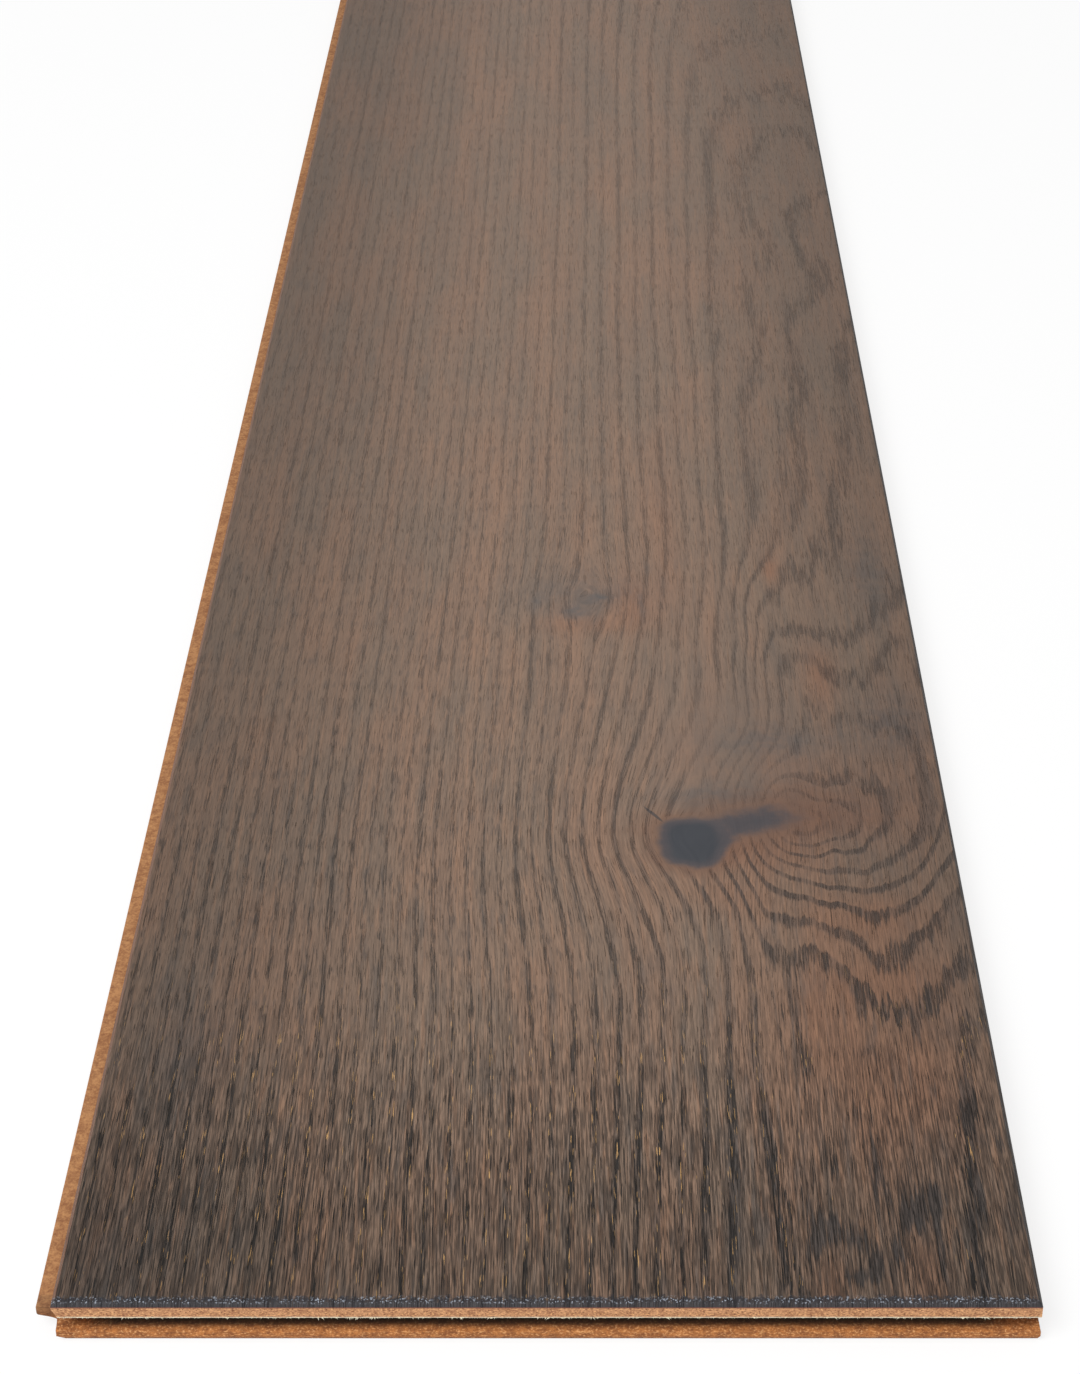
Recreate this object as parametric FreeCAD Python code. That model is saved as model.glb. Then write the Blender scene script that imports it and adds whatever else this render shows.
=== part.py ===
"""A wide plank floorboard: a stained oak face veneer bonded to a fibreboard core.

Frame: millimetres, +Z up, the board lies flat on z = 0 with its face at the top.
The origin is on the underside, under the middle of the face rectangle.
+Y runs along the length, away from the grooved front end and towards the tongued back end.
+X runs across the width, from the tongued long edge to the grooved long edge.

The two layers are bonded first and the board is milled afterwards: the long edges go through
one cutter set and the short ends through another. The model follows that. The whole board is
what two straight cuts leave, the long-edge section extruded along Y and the end section
extruded along X, and the glue line then parts it into veneer and core.
"""

import FreeCAD
import Part

import math
import os

# Board, as laid: the face rectangle leaves out the tongues.
FACE_WIDTH = 190.5
FACE_LENGTH = 1220.0
VENEER_THICKNESS = 1.2

# Edge of the face: a shallow eased band, then a 45 degree bevel, then the upright wall.
BEVEL = 0.75
LONG_EASE_RUN = 1.1
LONG_EASE_DROP = 0.12
END_EASE_RUN = 1.4
END_EASE_DROP = 0.2

# The joint's heights at the mouth of the groove, which add up to the board's thickness.
UPPER_LIP = 3.95
GROOVE_MOUTH = 3.3
LOWER_LIP = 2.25

# Tongue, on the left long edge and on the back end.
LONG_TONGUE_REACH = 3.7
END_TONGUE_REACH = 3.05
TONGUE_TIP_THICKNESS = 2.2
TONGUE_TOP_RADIUS = 0.3
TONGUE_NOSE_RADIUS = 0.6
TONGUE_ROOT_RADIUS = 0.3
CONTACT_WALL = 0.6
WALL_RELIEF = 1.2
TONGUE_CHAMFER_RUN = 1.7
TONGUE_CHAMFER_RISE = 1.0

# Play between a tongue and the groove of the next board.
TOP_CLEARANCE = 0.05
NOSE_CLEARANCE = 0.35
TIP_CLEARANCE = 0.9
FOOT_CLEARANCE = 0.18
LOWER_LIP_CLEARANCE = 0.33

# Groove, in the right long edge and in the front end.
GROOVE_CORNER_RADIUS = 0.4
LIP_EDGE_RADIUS = 0.45
LOWER_LIP_EDGE_RADIUS = 0.25
LOWER_LIP_REACH = 0.12
LIP_CHAMFER_RUN = 0.45
LIP_CHAMFER_RISE = 1.0

# How far each milling pass runs past the board.
CUTTER_OVERRUN = 10.0

# Levels and edges that follow from the sizes above.
BOARD_THICKNESS = LOWER_LIP + GROOVE_MOUTH + UPPER_LIP
GLUE_LINE = BOARD_THICKNESS - VENEER_THICKNESS
GROOVE_CEILING = LOWER_LIP + GROOVE_MOUTH
TONGUE_TOP = GROOVE_CEILING - TOP_CLEARANCE
TONGUE_TIP = TONGUE_TOP - TONGUE_TIP_THICKNESS
TONGUE_FOOT = LOWER_LIP + FOOT_CLEARANCE
GROOVE_FLOOR_BACK = TONGUE_TIP - TIP_CLEARANCE
LOWER_WALL_SETBACK = LOWER_LIP_REACH + LOWER_LIP_CLEARANCE
HALF_WIDTH = FACE_WIDTH / 2
HALF_LENGTH = FACE_LENGTH / 2


def face_edge(ease_run, ease_drop):
    """The upper end of any edge: the foot of the bevel, its top and the eased band.

    Each entry is (outward, height, corner radius), outward being measured from the
    face's edge, so that a point inside the board is negative.
    """
    return [
        (0.0, BOARD_THICKNESS - ease_drop - BEVEL, 0.0),
        (-BEVEL, BOARD_THICKNESS - ease_drop, 0.0),
        (-BEVEL - ease_run, BOARD_THICKNESS, 0.0),
    ]


def groove_edge(tongue_reach, ease_run, ease_drop):
    """The grooved edge from the underside up to the face, listed as face_edge is."""
    depth = tongue_reach + NOSE_CLEARANCE
    return [
        (LOWER_LIP_REACH - LIP_CHAMFER_RUN, 0.0, 0.0),
        (LOWER_LIP_REACH, LIP_CHAMFER_RISE, 0.0),
        (LOWER_LIP_REACH, LOWER_LIP, LOWER_LIP_EDGE_RADIUS),
        (-depth, GROOVE_FLOOR_BACK, GROOVE_CORNER_RADIUS),
        (-depth, GROOVE_CEILING, GROOVE_CORNER_RADIUS),
        (0.0, GROOVE_CEILING, LIP_EDGE_RADIUS),
        *face_edge(ease_run, ease_drop),
    ]


def tongue_edge(tongue_reach, ease_run, ease_drop):
    """The tongued edge from the underside up to the face, listed as face_edge is."""
    slope = (TONGUE_TIP - TONGUE_FOOT) / tongue_reach
    root = TONGUE_FOOT - slope * LOWER_WALL_SETBACK
    wall_foot = BOARD_THICKNESS - ease_drop - BEVEL - CONTACT_WALL
    return [
        (-LOWER_WALL_SETBACK - TONGUE_CHAMFER_RUN, 0.0, 0.0),
        (-LOWER_WALL_SETBACK, TONGUE_CHAMFER_RISE, 0.0),
        (-LOWER_WALL_SETBACK, root, TONGUE_ROOT_RADIUS),
        (tongue_reach, TONGUE_TIP, TONGUE_NOSE_RADIUS),
        (tongue_reach, TONGUE_TOP, TONGUE_TOP_RADIUS),
        (-WALL_RELIEF, TONGUE_TOP, 0.0),
        (0.0, wall_foot, 0.0),
        *face_edge(ease_run, ease_drop),
    ]


def section(minus_edge, plus_edge, half):
    """A closed section from its two edges: a list of (place, height, corner radius)."""
    plus = [(half + out, z, radius) for out, z, radius in plus_edge]
    minus = [(-half - out, z, radius) for out, z, radius in minus_edge]
    return plus + minus[::-1]


def rounded_wire(corners, to_point):
    """A closed wire through the corners, with an arc wherever a corner has a radius."""
    count = len(corners)
    spans = []
    for i, (u, z, radius) in enumerate(corners):
        if radius == 0.0:
            spans.append([(u, z)])
            continue
        before, after = corners[i - 1], corners[(i + 1) % count]
        a = math.atan2(before[1] - z, before[0] - u)
        b = math.atan2(after[1] - z, after[0] - u)
        half_angle = abs(math.remainder(b - a, 2 * math.pi)) / 2
        back = radius / math.tan(half_angle)
        middle = a + math.remainder(b - a, 2 * math.pi) / 2
        sag = radius / math.sin(half_angle) - radius
        spans.append(
            [
                (u + back * math.cos(a), z + back * math.sin(a)),
                (u + sag * math.cos(middle), z + sag * math.sin(middle)),
                (u + back * math.cos(b), z + back * math.sin(b)),
            ]
        )
    edges = []
    for i, span in enumerate(spans):
        if len(span) == 3:
            edges.append(Part.Arc(*[to_point(*p) for p in span]).toShape())
        end, start = span[-1], spans[(i + 1) % count][0]
        edges.append(Part.makeLine(to_point(*end), to_point(*start)))
    return Part.Wire(edges)


def only_solid(shape):
    solids = shape.removeSplitter().Solids
    if len(solids) != 1:
        raise ValueError(f"expected one solid, got {len(solids)}")
    return solids[0]


span_x = HALF_WIDTH + LONG_TONGUE_REACH + CUTTER_OVERRUN
span_y = HALF_LENGTH + END_TONGUE_REACH + CUTTER_OVERRUN

# First pass: both long edges, tongue on -X and groove on +X.
long_section = section(
    tongue_edge(LONG_TONGUE_REACH, LONG_EASE_RUN, LONG_EASE_DROP),
    groove_edge(LONG_TONGUE_REACH, LONG_EASE_RUN, LONG_EASE_DROP),
    HALF_WIDTH,
)
long_wire = rounded_wire(long_section, lambda u, z: FreeCAD.Vector(u, -span_y, z))
long_pass = Part.Face(long_wire).extrude(FreeCAD.Vector(0, 2 * span_y, 0))

# Second pass: both ends, groove on -Y and tongue on +Y.
end_section = section(
    groove_edge(END_TONGUE_REACH, END_EASE_RUN, END_EASE_DROP),
    tongue_edge(END_TONGUE_REACH, END_EASE_RUN, END_EASE_DROP),
    HALF_LENGTH,
)
end_wire = rounded_wire(end_section, lambda u, z: FreeCAD.Vector(-span_x, u, z))
end_pass = Part.Face(end_wire).extrude(FreeCAD.Vector(2 * span_x, 0, 0))

# What both passes leave is the board. The glue line parts it into its two layers.
board = only_solid(long_pass.common(end_pass))
above_glue = Part.makeBox(
    2 * span_x,
    2 * span_y,
    VENEER_THICKNESS + CUTTER_OVERRUN,
    FreeCAD.Vector(-span_x, -span_y, GLUE_LINE),
)
oak_veneer = only_solid(board.common(above_glue))
fibreboard_core = only_solid(board.cut(above_glue))

os.makedirs("parts", exist_ok=True)
for name, shape in (("oak_veneer", oak_veneer), ("fibreboard_core", fibreboard_core)):
    box = shape.BoundBox
    print(
        f"{name}: valid {shape.isValid()}, {shape.Volume / 1000:.1f} cm3, {len(shape.Faces)} faces, "
        f"x {box.XMin:.2f}..{box.XMax:.2f}, y {box.YMin:.2f}..{box.YMax:.2f}, z {box.ZMin:.2f}..{box.ZMax:.2f}"
    )
    shape.exportStep(f"parts/{name}.step")
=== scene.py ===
# %% [markdown]
# A wide plank floorboard
#
# The board is an oak veneer on a brown fibreboard core, with a tongue and a groove
# milled into its edges. The solids already have the right section, so this lesson is
# about the surface: how oak looks when a saw has cut through its growth rings and a
# wire brush has worn the soft wood away, and how raw fibreboard looks when it is milled.

# %% Open the solids
import math

import bpy
import numpy as np
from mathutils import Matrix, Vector


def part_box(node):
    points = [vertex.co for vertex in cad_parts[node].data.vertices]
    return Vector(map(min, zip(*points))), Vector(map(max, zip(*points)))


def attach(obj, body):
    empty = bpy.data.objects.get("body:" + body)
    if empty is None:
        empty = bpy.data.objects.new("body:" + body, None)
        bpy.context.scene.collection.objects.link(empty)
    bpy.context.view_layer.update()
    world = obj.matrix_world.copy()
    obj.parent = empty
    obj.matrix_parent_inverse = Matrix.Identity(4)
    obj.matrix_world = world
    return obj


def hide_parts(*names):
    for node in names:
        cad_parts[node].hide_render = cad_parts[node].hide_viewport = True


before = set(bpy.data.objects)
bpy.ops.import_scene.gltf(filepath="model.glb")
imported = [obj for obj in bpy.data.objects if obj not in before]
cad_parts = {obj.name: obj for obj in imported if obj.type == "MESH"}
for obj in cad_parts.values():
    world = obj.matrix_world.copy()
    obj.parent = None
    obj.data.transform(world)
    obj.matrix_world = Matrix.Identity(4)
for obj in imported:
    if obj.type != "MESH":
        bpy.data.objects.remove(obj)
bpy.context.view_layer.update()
MM = 0.001
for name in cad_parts:
    low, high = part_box(name)
    print(name, [round((b - a) / MM, 2) for a, b in zip(low, high)], "mm")

# %% Sizes of the oak veneer
# The sizes are in millimetres. The front edge is a place in the scene, so it is in metres.
low, high = ([round(v / MM, 2) for v in corner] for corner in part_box("oak_veneer"))
HALF_W, LENGTH = high[0], high[1] - low[1]
GLUE, TOP = low[2], high[2]
FRONT = low[1] * MM
print("the face is", 2 * HALF_W, "by", LENGTH, "mm, and the oak", round(TOP - GLUE, 2), "mm thick")

# %% [markdown]
# The camera
#
# The long edges of the board meet in a vanishing point far above the picture. Its height
# gives the tilt of the camera, and its place beside the middle shows that the picture was
# trimmed more on one side, which is what the small sideways shift of the lens does here.

# %% Camera at the photograph's angle
PHOTO_W, PHOTO_H = 1080, 1374
FOCAL_PX = 2760.0
VANISH_X, VANISH_Y = 586.8, -1056.6
EYE = (7.7 * MM, FRONT - 384.0 * MM, 391.9 * MM)

camera_data = bpy.data.cameras.new("camera")
camera = bpy.data.objects.new("camera", camera_data)
bpy.context.collection.objects.link(camera)
bpy.context.scene.camera = camera
camera_data.sensor_width = 36.0
camera_data.lens = FOCAL_PX / PHOTO_H * camera_data.sensor_width
camera_data.shift_x = (PHOTO_W / 2 - VANISH_X) / PHOTO_H
pitch = math.atan2(PHOTO_H / 2 - VANISH_Y, FOCAL_PX)
camera.location = EYE
camera.rotation_euler = (math.pi / 2 - pitch, 0.0, 0.0)
camera_data.clip_start = 0.01
print("camera tilts down", round(math.degrees(pitch), 2), "degrees, lens", round(camera_data.lens, 1), "mm")

# %% [markdown]
# The growth rings
#
# A saw cut through a trunk shows one line for each year. On the left of this board the cut
# crosses the rings steeply and the lines are close and straight. On the right it runs nearly
# along them, so the lines wander off into flames, and where a branch has pushed the rings up
# the cut takes the top off a dome and leaves an eye. Such a figure could come from noise, but a
# board is known by its figure, so a few points are read off each main line.

# %% Ring lines, read off in millimetres across from the middle and along from the front
YEARS_ACROSS = [
    (-HALF_W, 41.0), (-40, 28.0), (17, 14.2), (30.5, 11.4), (45, 8.8), (60, 7.4), (HALF_W, 7.0),
]
RING_LINES = {
    1: [(62, 166), (66, 162), (62, 156)],
    2: [(63, 170), (73, 165), (73, 157), (66, 153)],
    3: [(66, 176), (78, 176), (81, 166), (79, 158), (75, 153), (66, 149), (58, 147)],
    4: [
        (57, 143), (65, 140), (73, 140), (80, 145), (87, 156), (90, 168), (91, 188), (85, 204),
        (74, 207), (62, 199),
    ],
    5: [
        (54, 139), (62, 135), (73, 133), (80, 136), (87, 143), (92, 155), (95, 168),
        (58, 221), (65, 235), (74, 225), (82, 228), (88, 241), (94, 230),
    ],
    6: [
        (50, 135), (58, 130), (66, 127), (75, 124), (82, 128), (90, 139), (95, 149),
        (55, 238), (63, 249), (73, 246), (82, 250), (90, 262),
    ],
    7: [
        (48, 126), (56, 121), (64, 117), (70, 111), (76, 108), (82, 114), (88, 122), (95, 135),
        (54, 256), (66, 278), (77, 300), (80, 325), (86, 350), (88, 380), (91, 420),
    ],
    8: [
        (57, 109), (64, 104), (68, 94), (75, 90), (80, 90), (86, 97), (95, 110),
        (53, 275), (62, 300), (71, 325), (73, 365), (76, 400), (74, 440), (84, 462), (89, 490),
    ],
    9: [
        (42, 126), (44, 100), (44.5, 60), (46, 20), (47, 0),
        (89, 80), (88, 60), (86, 40), (84, 20), (84, 0),
        (46, 205), (48, 245), (52, 290), (57, 335), (57, 380), (60, 402), (65, 425), (66, 438), (62, 458),
        (64, 474), (70, 486), (72, 510), (66, 545), (64, 566), (70, 590), (76, 611), (86, 616), (93, 600),
    ],
    10: [
        (33, 136), (38, 118), (38.5, 80), (38, 50), (37, 20), (36, 0), (95, 45),
        (40, 205), (42, 245), (45.5, 275), (47, 320), (48, 380), (50, 440), (50, 500), (52, 560),
        (55, 605), (60, 630), (66, 648), (74, 661), (84, 661), (93, 640),
    ],
    11: [
        (29, 132), (34, 112), (33, 75), (32, 40), (30.5, 5),
        (34, 205), (37, 245), (40, 275), (41, 320), (42, 400), (43, 500), (45, 580), (49, 650),
        (53, 690), (60, 713), (70, 728), (81, 728), (92, 710),
    ],
    12: [(24, 130), (28.5, 110), (28, 70), (27, 40), (26, 5), (36, 320), (37, 500), (40, 650)],
    13: [(19, 131), (24.5, 106), (24, 65), (22, 25)],
    14: [(14, 134), (19, 108), (19, 65), (17, 5)],
}
BETWEEN_LINES = [
    (51, 60, 8.3), (52, 82, 8.1), (53, 103, 8.08), (59.5, 92, 8.6), (60, 70, 8.6), (72, 62, 8.6),
    (55, 5, 8.6), (74, 6, 8.6), (65, 30, 8.5), (57, 161, 0.4), (86, 510, 7.6), (70, 850, 12.4),
    (90, 850, 12.0), (70, 1000, 10.6), (90, 1000, 9.8), (68, 1130, 8.6), (90, 1130, 7.8), (68, 1220, 9.2),
    (92, 1220, 9.6),
]
print(sum(len(line) for line in RING_LINES.values()), "points on", len(RING_LINES), "ring lines")

# %% [markdown]
# The fibres
#
# Two branches grew through the board. The fibres swerve round each of these knots like water
# round a stone: a fibre that would pass close by is pushed aside, and one far away hardly
# moves. The sideways place of a point, less that push, says which fibre runs through it.

# %% Fibres round the knots
KNOTS = {
    "large": {"x": 36.0, "y": 156.0, "left": 17.0, "right": 7.0, "front": 1.0, "back": 1.5},
    "small": {"x": 7.0, "y": 267.0, "left": 5.0, "right": 6.5, "front": 2.2, "back": 2.4},
}


def pushed_aside(knot, x, y):
    dx, dy = x - knot["x"], y - knot["y"]
    dy = np.where(dy < 0, dy / knot["front"], dy / knot["back"])
    reach = np.where(dx < 0, knot["left"], knot["right"])
    return dx * reach**2 / (dx * dx + dy * dy + reach**2)


def fibre_line(x, y):
    return x - sum(pushed_aside(knot, x, y) for knot in KNOTS.values())


beside = 15.0
shifted = pushed_aside(KNOTS["large"], KNOTS["large"]["x"] + beside, KNOTS["large"]["y"])
print(beside, "mm beside the large knot a fibre shifts", round(float(shifted), 1), "mm")

# %% [markdown]
# A year for every place
#
# Far from the figure the year follows from the fibre alone. The points that were read off say
# something else, so the difference is spread as a thin sheet of metal would spread it: pinned
# at every point, bent as little as possible between them. A few pins that hold the sheet
# still keep the straight left side straight.

# %% Years that follow the fibres
def through(points, at):
    """A smooth curve through (place, value) points."""
    place, value = np.array(points, float).T
    slope = np.gradient(value, place)
    i = np.clip(np.searchsorted(place, at) - 1, 0, len(place) - 2)
    step = place[i + 1] - place[i]
    t = np.clip((at - place[i]) / step, 0.0, 1.0)
    return (
        value[i] * (1 + 2 * t) * (1 - t) ** 2
        + slope[i] * step * t * (1 - t) ** 2
        + value[i + 1] * t * t * (3 - 2 * t)
        - slope[i + 1] * step * t * t * (1 - t)
    )


def straight_years(x, y):
    return through(YEARS_ACROSS, fibre_line(x, y))


print("without the figure the middle of the front is in year", round(float(straight_years(0.0, 0.0)), 1))

# %% The sheet bent through the ring lines
STRETCH = 2.2
SLACK = 2.0
STILL_AT = (-92.0, -50.0, -12.0)
STILL_ROWS = 11
NO_ZERO = 1e-6


def bending(ax, ay, bx, by):
    """How far a thin sheet gives at one point when it is pushed at another."""
    r2 = (ax - bx) ** 2 + ((ay - by) / STRETCH) ** 2
    return r2 * np.log(r2 + NO_ZERO)


read = [(x, y, year) for year, line in RING_LINES.items() for x, y in line] + BETWEEN_LINES
still = [(x, y) for x in STILL_AT for y in np.linspace(0.0, LENGTH, STILL_ROWS)]
pin_x, pin_y = np.array([p[:2] for p in read] + still, float).T
lift = np.zeros(len(pin_x) + 3)
lift[: len(read)] = np.array([p[2] for p in read]) - straight_years(pin_x, pin_y)[: len(read)]
plane = np.stack([np.ones_like(pin_x), pin_x, pin_y], axis=1)
sheet = np.zeros((len(lift), len(lift)))
sheet[:-3, :-3] = bending(pin_x[:, None], pin_y[:, None], pin_x, pin_y) + SLACK * np.eye(len(pin_x))
sheet[:-3, -3:], sheet[-3:, :-3] = plane, plane.T
push = np.linalg.solve(sheet, lift)


def years(x, y):
    value = straight_years(x, y) + push[-3] + push[-2] * x + push[-1] * y
    for px, py, force in zip(pin_x, pin_y, push):
        value = value + force * bending(x, y, px, py)
    return value


print("the sheet is pinned at", len(pin_x), "points")

# %% [markdown]
# Spots on the face
#
# The heart of the large knot takes the stain almost black. The small one is only a grey smoke,
# and so are a few places where the stain pooled, while the wood beside the knots and inside some
# flames stays redder. Where the cut just grazes a ring it leaves dark patches rather than a line,
# and just behind the large knot the figure is calm. Each spot is an ellipse: across, along, half
# width, half height, a turn in degrees and a strength.

# %% Knots and soft patches
KNOT_SPOTS = [
    (32.8, 155.3, 7.8, 6.4, 0, 1), (33.4, 150.6, 7.6, 8.6, -18, 1), (47, 160.6, 42, 18.5, 18, 0.25),
]
WARM_PATCHES = [
    (50, 147, 13, 9, 0, 1), (68, 163, 18, 11, 0, 0.8), (60, 88, 6, 20, 0, 0.8), (55, 5, 4, 9, 0, 0.8),
    (74, 9, 4, 12, 0, 0.8), (76, 100, 12, 9, 0, 0.6), (76, 62, 12, 20, 0, 0.5), (20, 264, 6, 14, 0, 0.9),
    (6, 253, 12, 5, 0, 0.7), (58.5, 283, 2, 7, 0, 1.2), (69, 228, 4, 14, 0, 0.9), (72, 122, 14, 10, 0, 0.7),
    (30, 300, 5, 50, 0, 0.5), (38, 132, 16, 8, -20, 0.6), (62, 183, 16, 8, 0, 0.4), (72, 90, 24, 40, 0, 0.5),
    (66, 50, 20, 30, 0, 0.4), (43.5, 148.5, 4, 3.5, 0, 0.9), (85, 178, 14, 30, 0, 0.5),
]
GREY_PATCHES = [
    (6, 271, 16, 9, 0, 0.42), (11, 267, 3.6, 2.0, 10, 0.6), (4, 259, 3.6, 2.4, -20, 0.75),
    (7, 262.5, 4.5, 3.5, 40, 0.4), (-6, 264, 2, 5, 0, 0.5), (22.6, 262, 0.9, 7, 5, 0.6),
    (38, 40, 2, 9, 0, 0.6), (37, 20, 2, 9, 0, 0.6), (86, 280, 6, 25, 0, 0.5), (-78, 70, 9, 26, 0, 0.4),
    (-84, 12, 9, 16, 0, 0.35), (36, 172, 12, 5, 8, 0.4), (58, 196, 18, 6, 0, 0.35),
    (70, 165, 24, 20, 0, 0.22), (46, 192, 20, 36, 0, 0.28), (86, 206, 10, 16, 0, 0.5),
]
GRAZED_PATCHES = [
    (66.5, 40, 2.2, 12, 0, 0.7), (58, 38, 1.4, 7, 0, 0.5), (54, 36, 1.4, 7, 0, 0.5),
    (56.5, 21, 3.6, 6, 0, 0.75), (52.5, 15, 1.8, 7, -10, 0.75), (51.5, 28, 1.4, 8, 0, 0.55),
    (62, 16, 3, 4.5, 0, 0.65), (60, 7, 3, 3.2, 0, 0.75), (64, 9, 2.6, 4, 0, 0.65), (73, 24, 3.8, 5, 0, 0.75),
    (74, 31, 5, 7, 0, 0.45), (69, 14, 2, 6, 0, 0.7), (77, 12, 1.2, 9, 0, 0.7), (78, 28, 1.4, 8, 0, 0.6),
    (86.4, 33, 1.6, 9, 0, 0.75), (84.6, 22, 1.8, 6, 0, 0.65), (84, 9, 1.6, 8, 0, 0.65),
    (87.6, 62, 2.2, 9, 0, 0.75), (87.2, 52, 1.3, 6, 0, 0.7), (92.6, 45, 1.2, 5, 0, 0.6),
    (52.5, 94, 1.7, 18, 0, 0.75), (67.5, 94, 1.6, 10, 0, 0.75), (79, 82, 1.6, 12, 0, 0.75),
    (81, 62, 1.2, 6, 0, 0.5), (45.5, 48, 1, 14, 0, 0.6), (46, 18, 1, 14, 0, 0.6),
    (80.8, 167, 1.6, 10, 0, 1.1), (90.6, 175, 1.9, 20, 0, 1.15), (88.3, 158, 1.7, 9, -16, 1),
    (83, 149, 1.6, 7, -40, 0.9),
]
CALM_PATCHES = [(44, 190, 19, 38, 0, 1)]
print(len(KNOT_SPOTS), "knot spots,", len(WARM_PATCHES), "warm,", len(GREY_PATCHES), "grey and")
print(len(GRAZED_PATCHES), "grazed patches")

# %% Outlines of the spots
STRENGTH = 5
SQUARE_KNOT = 3.0
JOIN_SHARPNESS = 8.0
FAR_FROM_KNOT = 4.0


def ellipse(spot, x, y, corner=2.0):
    """0 in the middle of a spot and 1 on its outline, which a larger corner makes squarer."""
    cx, cy, rx, ry, turn, _ = spot
    c, s = math.cos(math.radians(turn)), math.sin(math.radians(turn))
    u, v = ((x - cx) * c + (y - cy) * s) / rx, ((y - cy) * c - (x - cx) * s) / ry
    return (np.abs(u) ** corner + np.abs(v) ** corner) ** (1 / corner)


def knot_distance(x, y):
    """0 in the heart of a knot and 1 on its outline, with spots that flow into each other."""
    away = [ellipse(spot, x, y, SQUARE_KNOT) + 1.0 - spot[STRENGTH] for spot in KNOT_SPOTS]
    near = sum(np.exp(-JOIN_SHARPNESS * distance) for distance in away)
    least = math.exp(-JOIN_SHARPNESS * FAR_FROM_KNOT)
    return -np.log(np.maximum(near, least)) / JOIN_SHARPNESS


def soft_patches(spots, x, y):
    return np.minimum(sum(spot[STRENGTH] * np.exp(-ellipse(spot, x, y) ** 2) for spot in spots), 1.0)


print("the large knot's middle is at distance", round(float(knot_distance(*KNOT_SPOTS[0][:2])), 2))

# %% [markdown]
# The brushed face
#
# Spring wood is soft and full of open pores, so the wire brush digs it out and leaves the
# hard summer wood standing. The face is therefore a real relief: a grid that is finer across
# the grain than along it, dropped a tenth of a millimetre or two where a ring begins. The bevels
# and the eased edges come from the same two sections that the cutters follow, and the
# height of the face is the lower of the two.

# %% Grid of the face
BEVEL = 0.75
LONG_EASE = (1.1, 0.12)
END_EASE = (1.4, 0.2)
COLUMNS = 270
ROW_STEPS = [
    (0, 2.6), (130, 2.4), (145, 1.4), (180, 1.4), (200, 2.6), (300, 3.6), (500, 4.4), (LENGTH, 6.5),
]


def edge_section(inset, eased):
    """Height of the veneer at a distance from its edge."""
    run, drop = eased
    return np.interp(inset, [0.0, BEVEL, BEVEL + run], [TOP - drop - BEVEL, TOP - drop, TOP])


def edge_steps(eased):
    run = eased[0]
    return np.array([0.0, 0.4 * BEVEL, BEVEL, BEVEL + 0.5 * run, BEVEL + run])


long_steps, end_steps = edge_steps(LONG_EASE), edge_steps(END_EASE)
xs = np.linspace(-HALF_W + long_steps[-1], HALF_W - long_steps[-1], COLUMNS)[1:-1]
xs = np.concatenate([-HALF_W + long_steps, xs, HALF_W - long_steps[::-1]])
rows = [end_steps[-1]]
while rows[-1] < LENGTH - end_steps[-1]:
    rows.append(rows[-1] + float(np.interp(rows[-1], *np.array(ROW_STEPS).T)))
ys = np.interp(rows, [rows[0], rows[-1]], [end_steps[-1], LENGTH - end_steps[-1]])[1:-1]
ys = np.concatenate([end_steps, ys, LENGTH - end_steps[::-1]])
gx, gy = np.meshgrid(xs, ys)
print("grid of", len(xs), "by", len(ys), "points")

# %% Smooth chance
LATTICE_SIZE = 256
LATTICE = np.random.default_rng(11).uniform(-1.0, 1.0, (LATTICE_SIZE, LATTICE_SIZE))


def smoothstep(low, high, t):
    t = np.clip((t - low) / (high - low), 0.0, 1.0)
    return t * t * (3.0 - 2.0 * t)


def wander(x, y):
    """Smooth random values from -1 to 1, one new value per unit step."""
    ix, iy = np.floor(x).astype(int), np.floor(y).astype(int)
    fx, fy = smoothstep(0, 1, x - ix), smoothstep(0, 1, y - iy)

    def corner(dx, dy):
        return LATTICE[(ix + dx) % LATTICE_SIZE, (iy + dy) % LATTICE_SIZE]

    near = corner(0, 0) * (1 - fx) + corner(1, 0) * fx
    far = corner(0, 1) * (1 - fx) + corner(1, 1) * fx
    return near * (1 - fy) + far * fy


print("chance starts at", round(float(wander(0.0, 0.0)), 3))

# %% [markdown]
# Fibre and year at every point
#
# The fibres sway a little, slowly and then in shorter waves. The years flicker along the fibres,
# most of all where the cut is flat, because there a small step in height moves the line far.
# The band of open pores at the start of a ring is about as wide in every year of the trunk, so
# it takes up more of a narrow ring than of a wide one.

# %% Fibre and year
# Each sway: how far in millimetres, over what length and width, and two shifts that set it apart.
SWAYS = [(1.0, 150, 60, 3.1, 0.3), (0.4, 45, 20, 9.1, 5.3)]
# Each flicker: how strong, how wide and how long in millimetres, and a shift.
FLICKERS = [(0.6, 1.3, 22, 80), (0.5, 3.0, 60, 20)]
# Width of the pore band at two distances from the front, and the ring widths at which
# the cut starts to count as flat and is wholly flat, all in millimetres.
BAND = [(60, 3.0), (90, 9.0)]
FLAT_RINGS = (4.5, 17.0)

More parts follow.
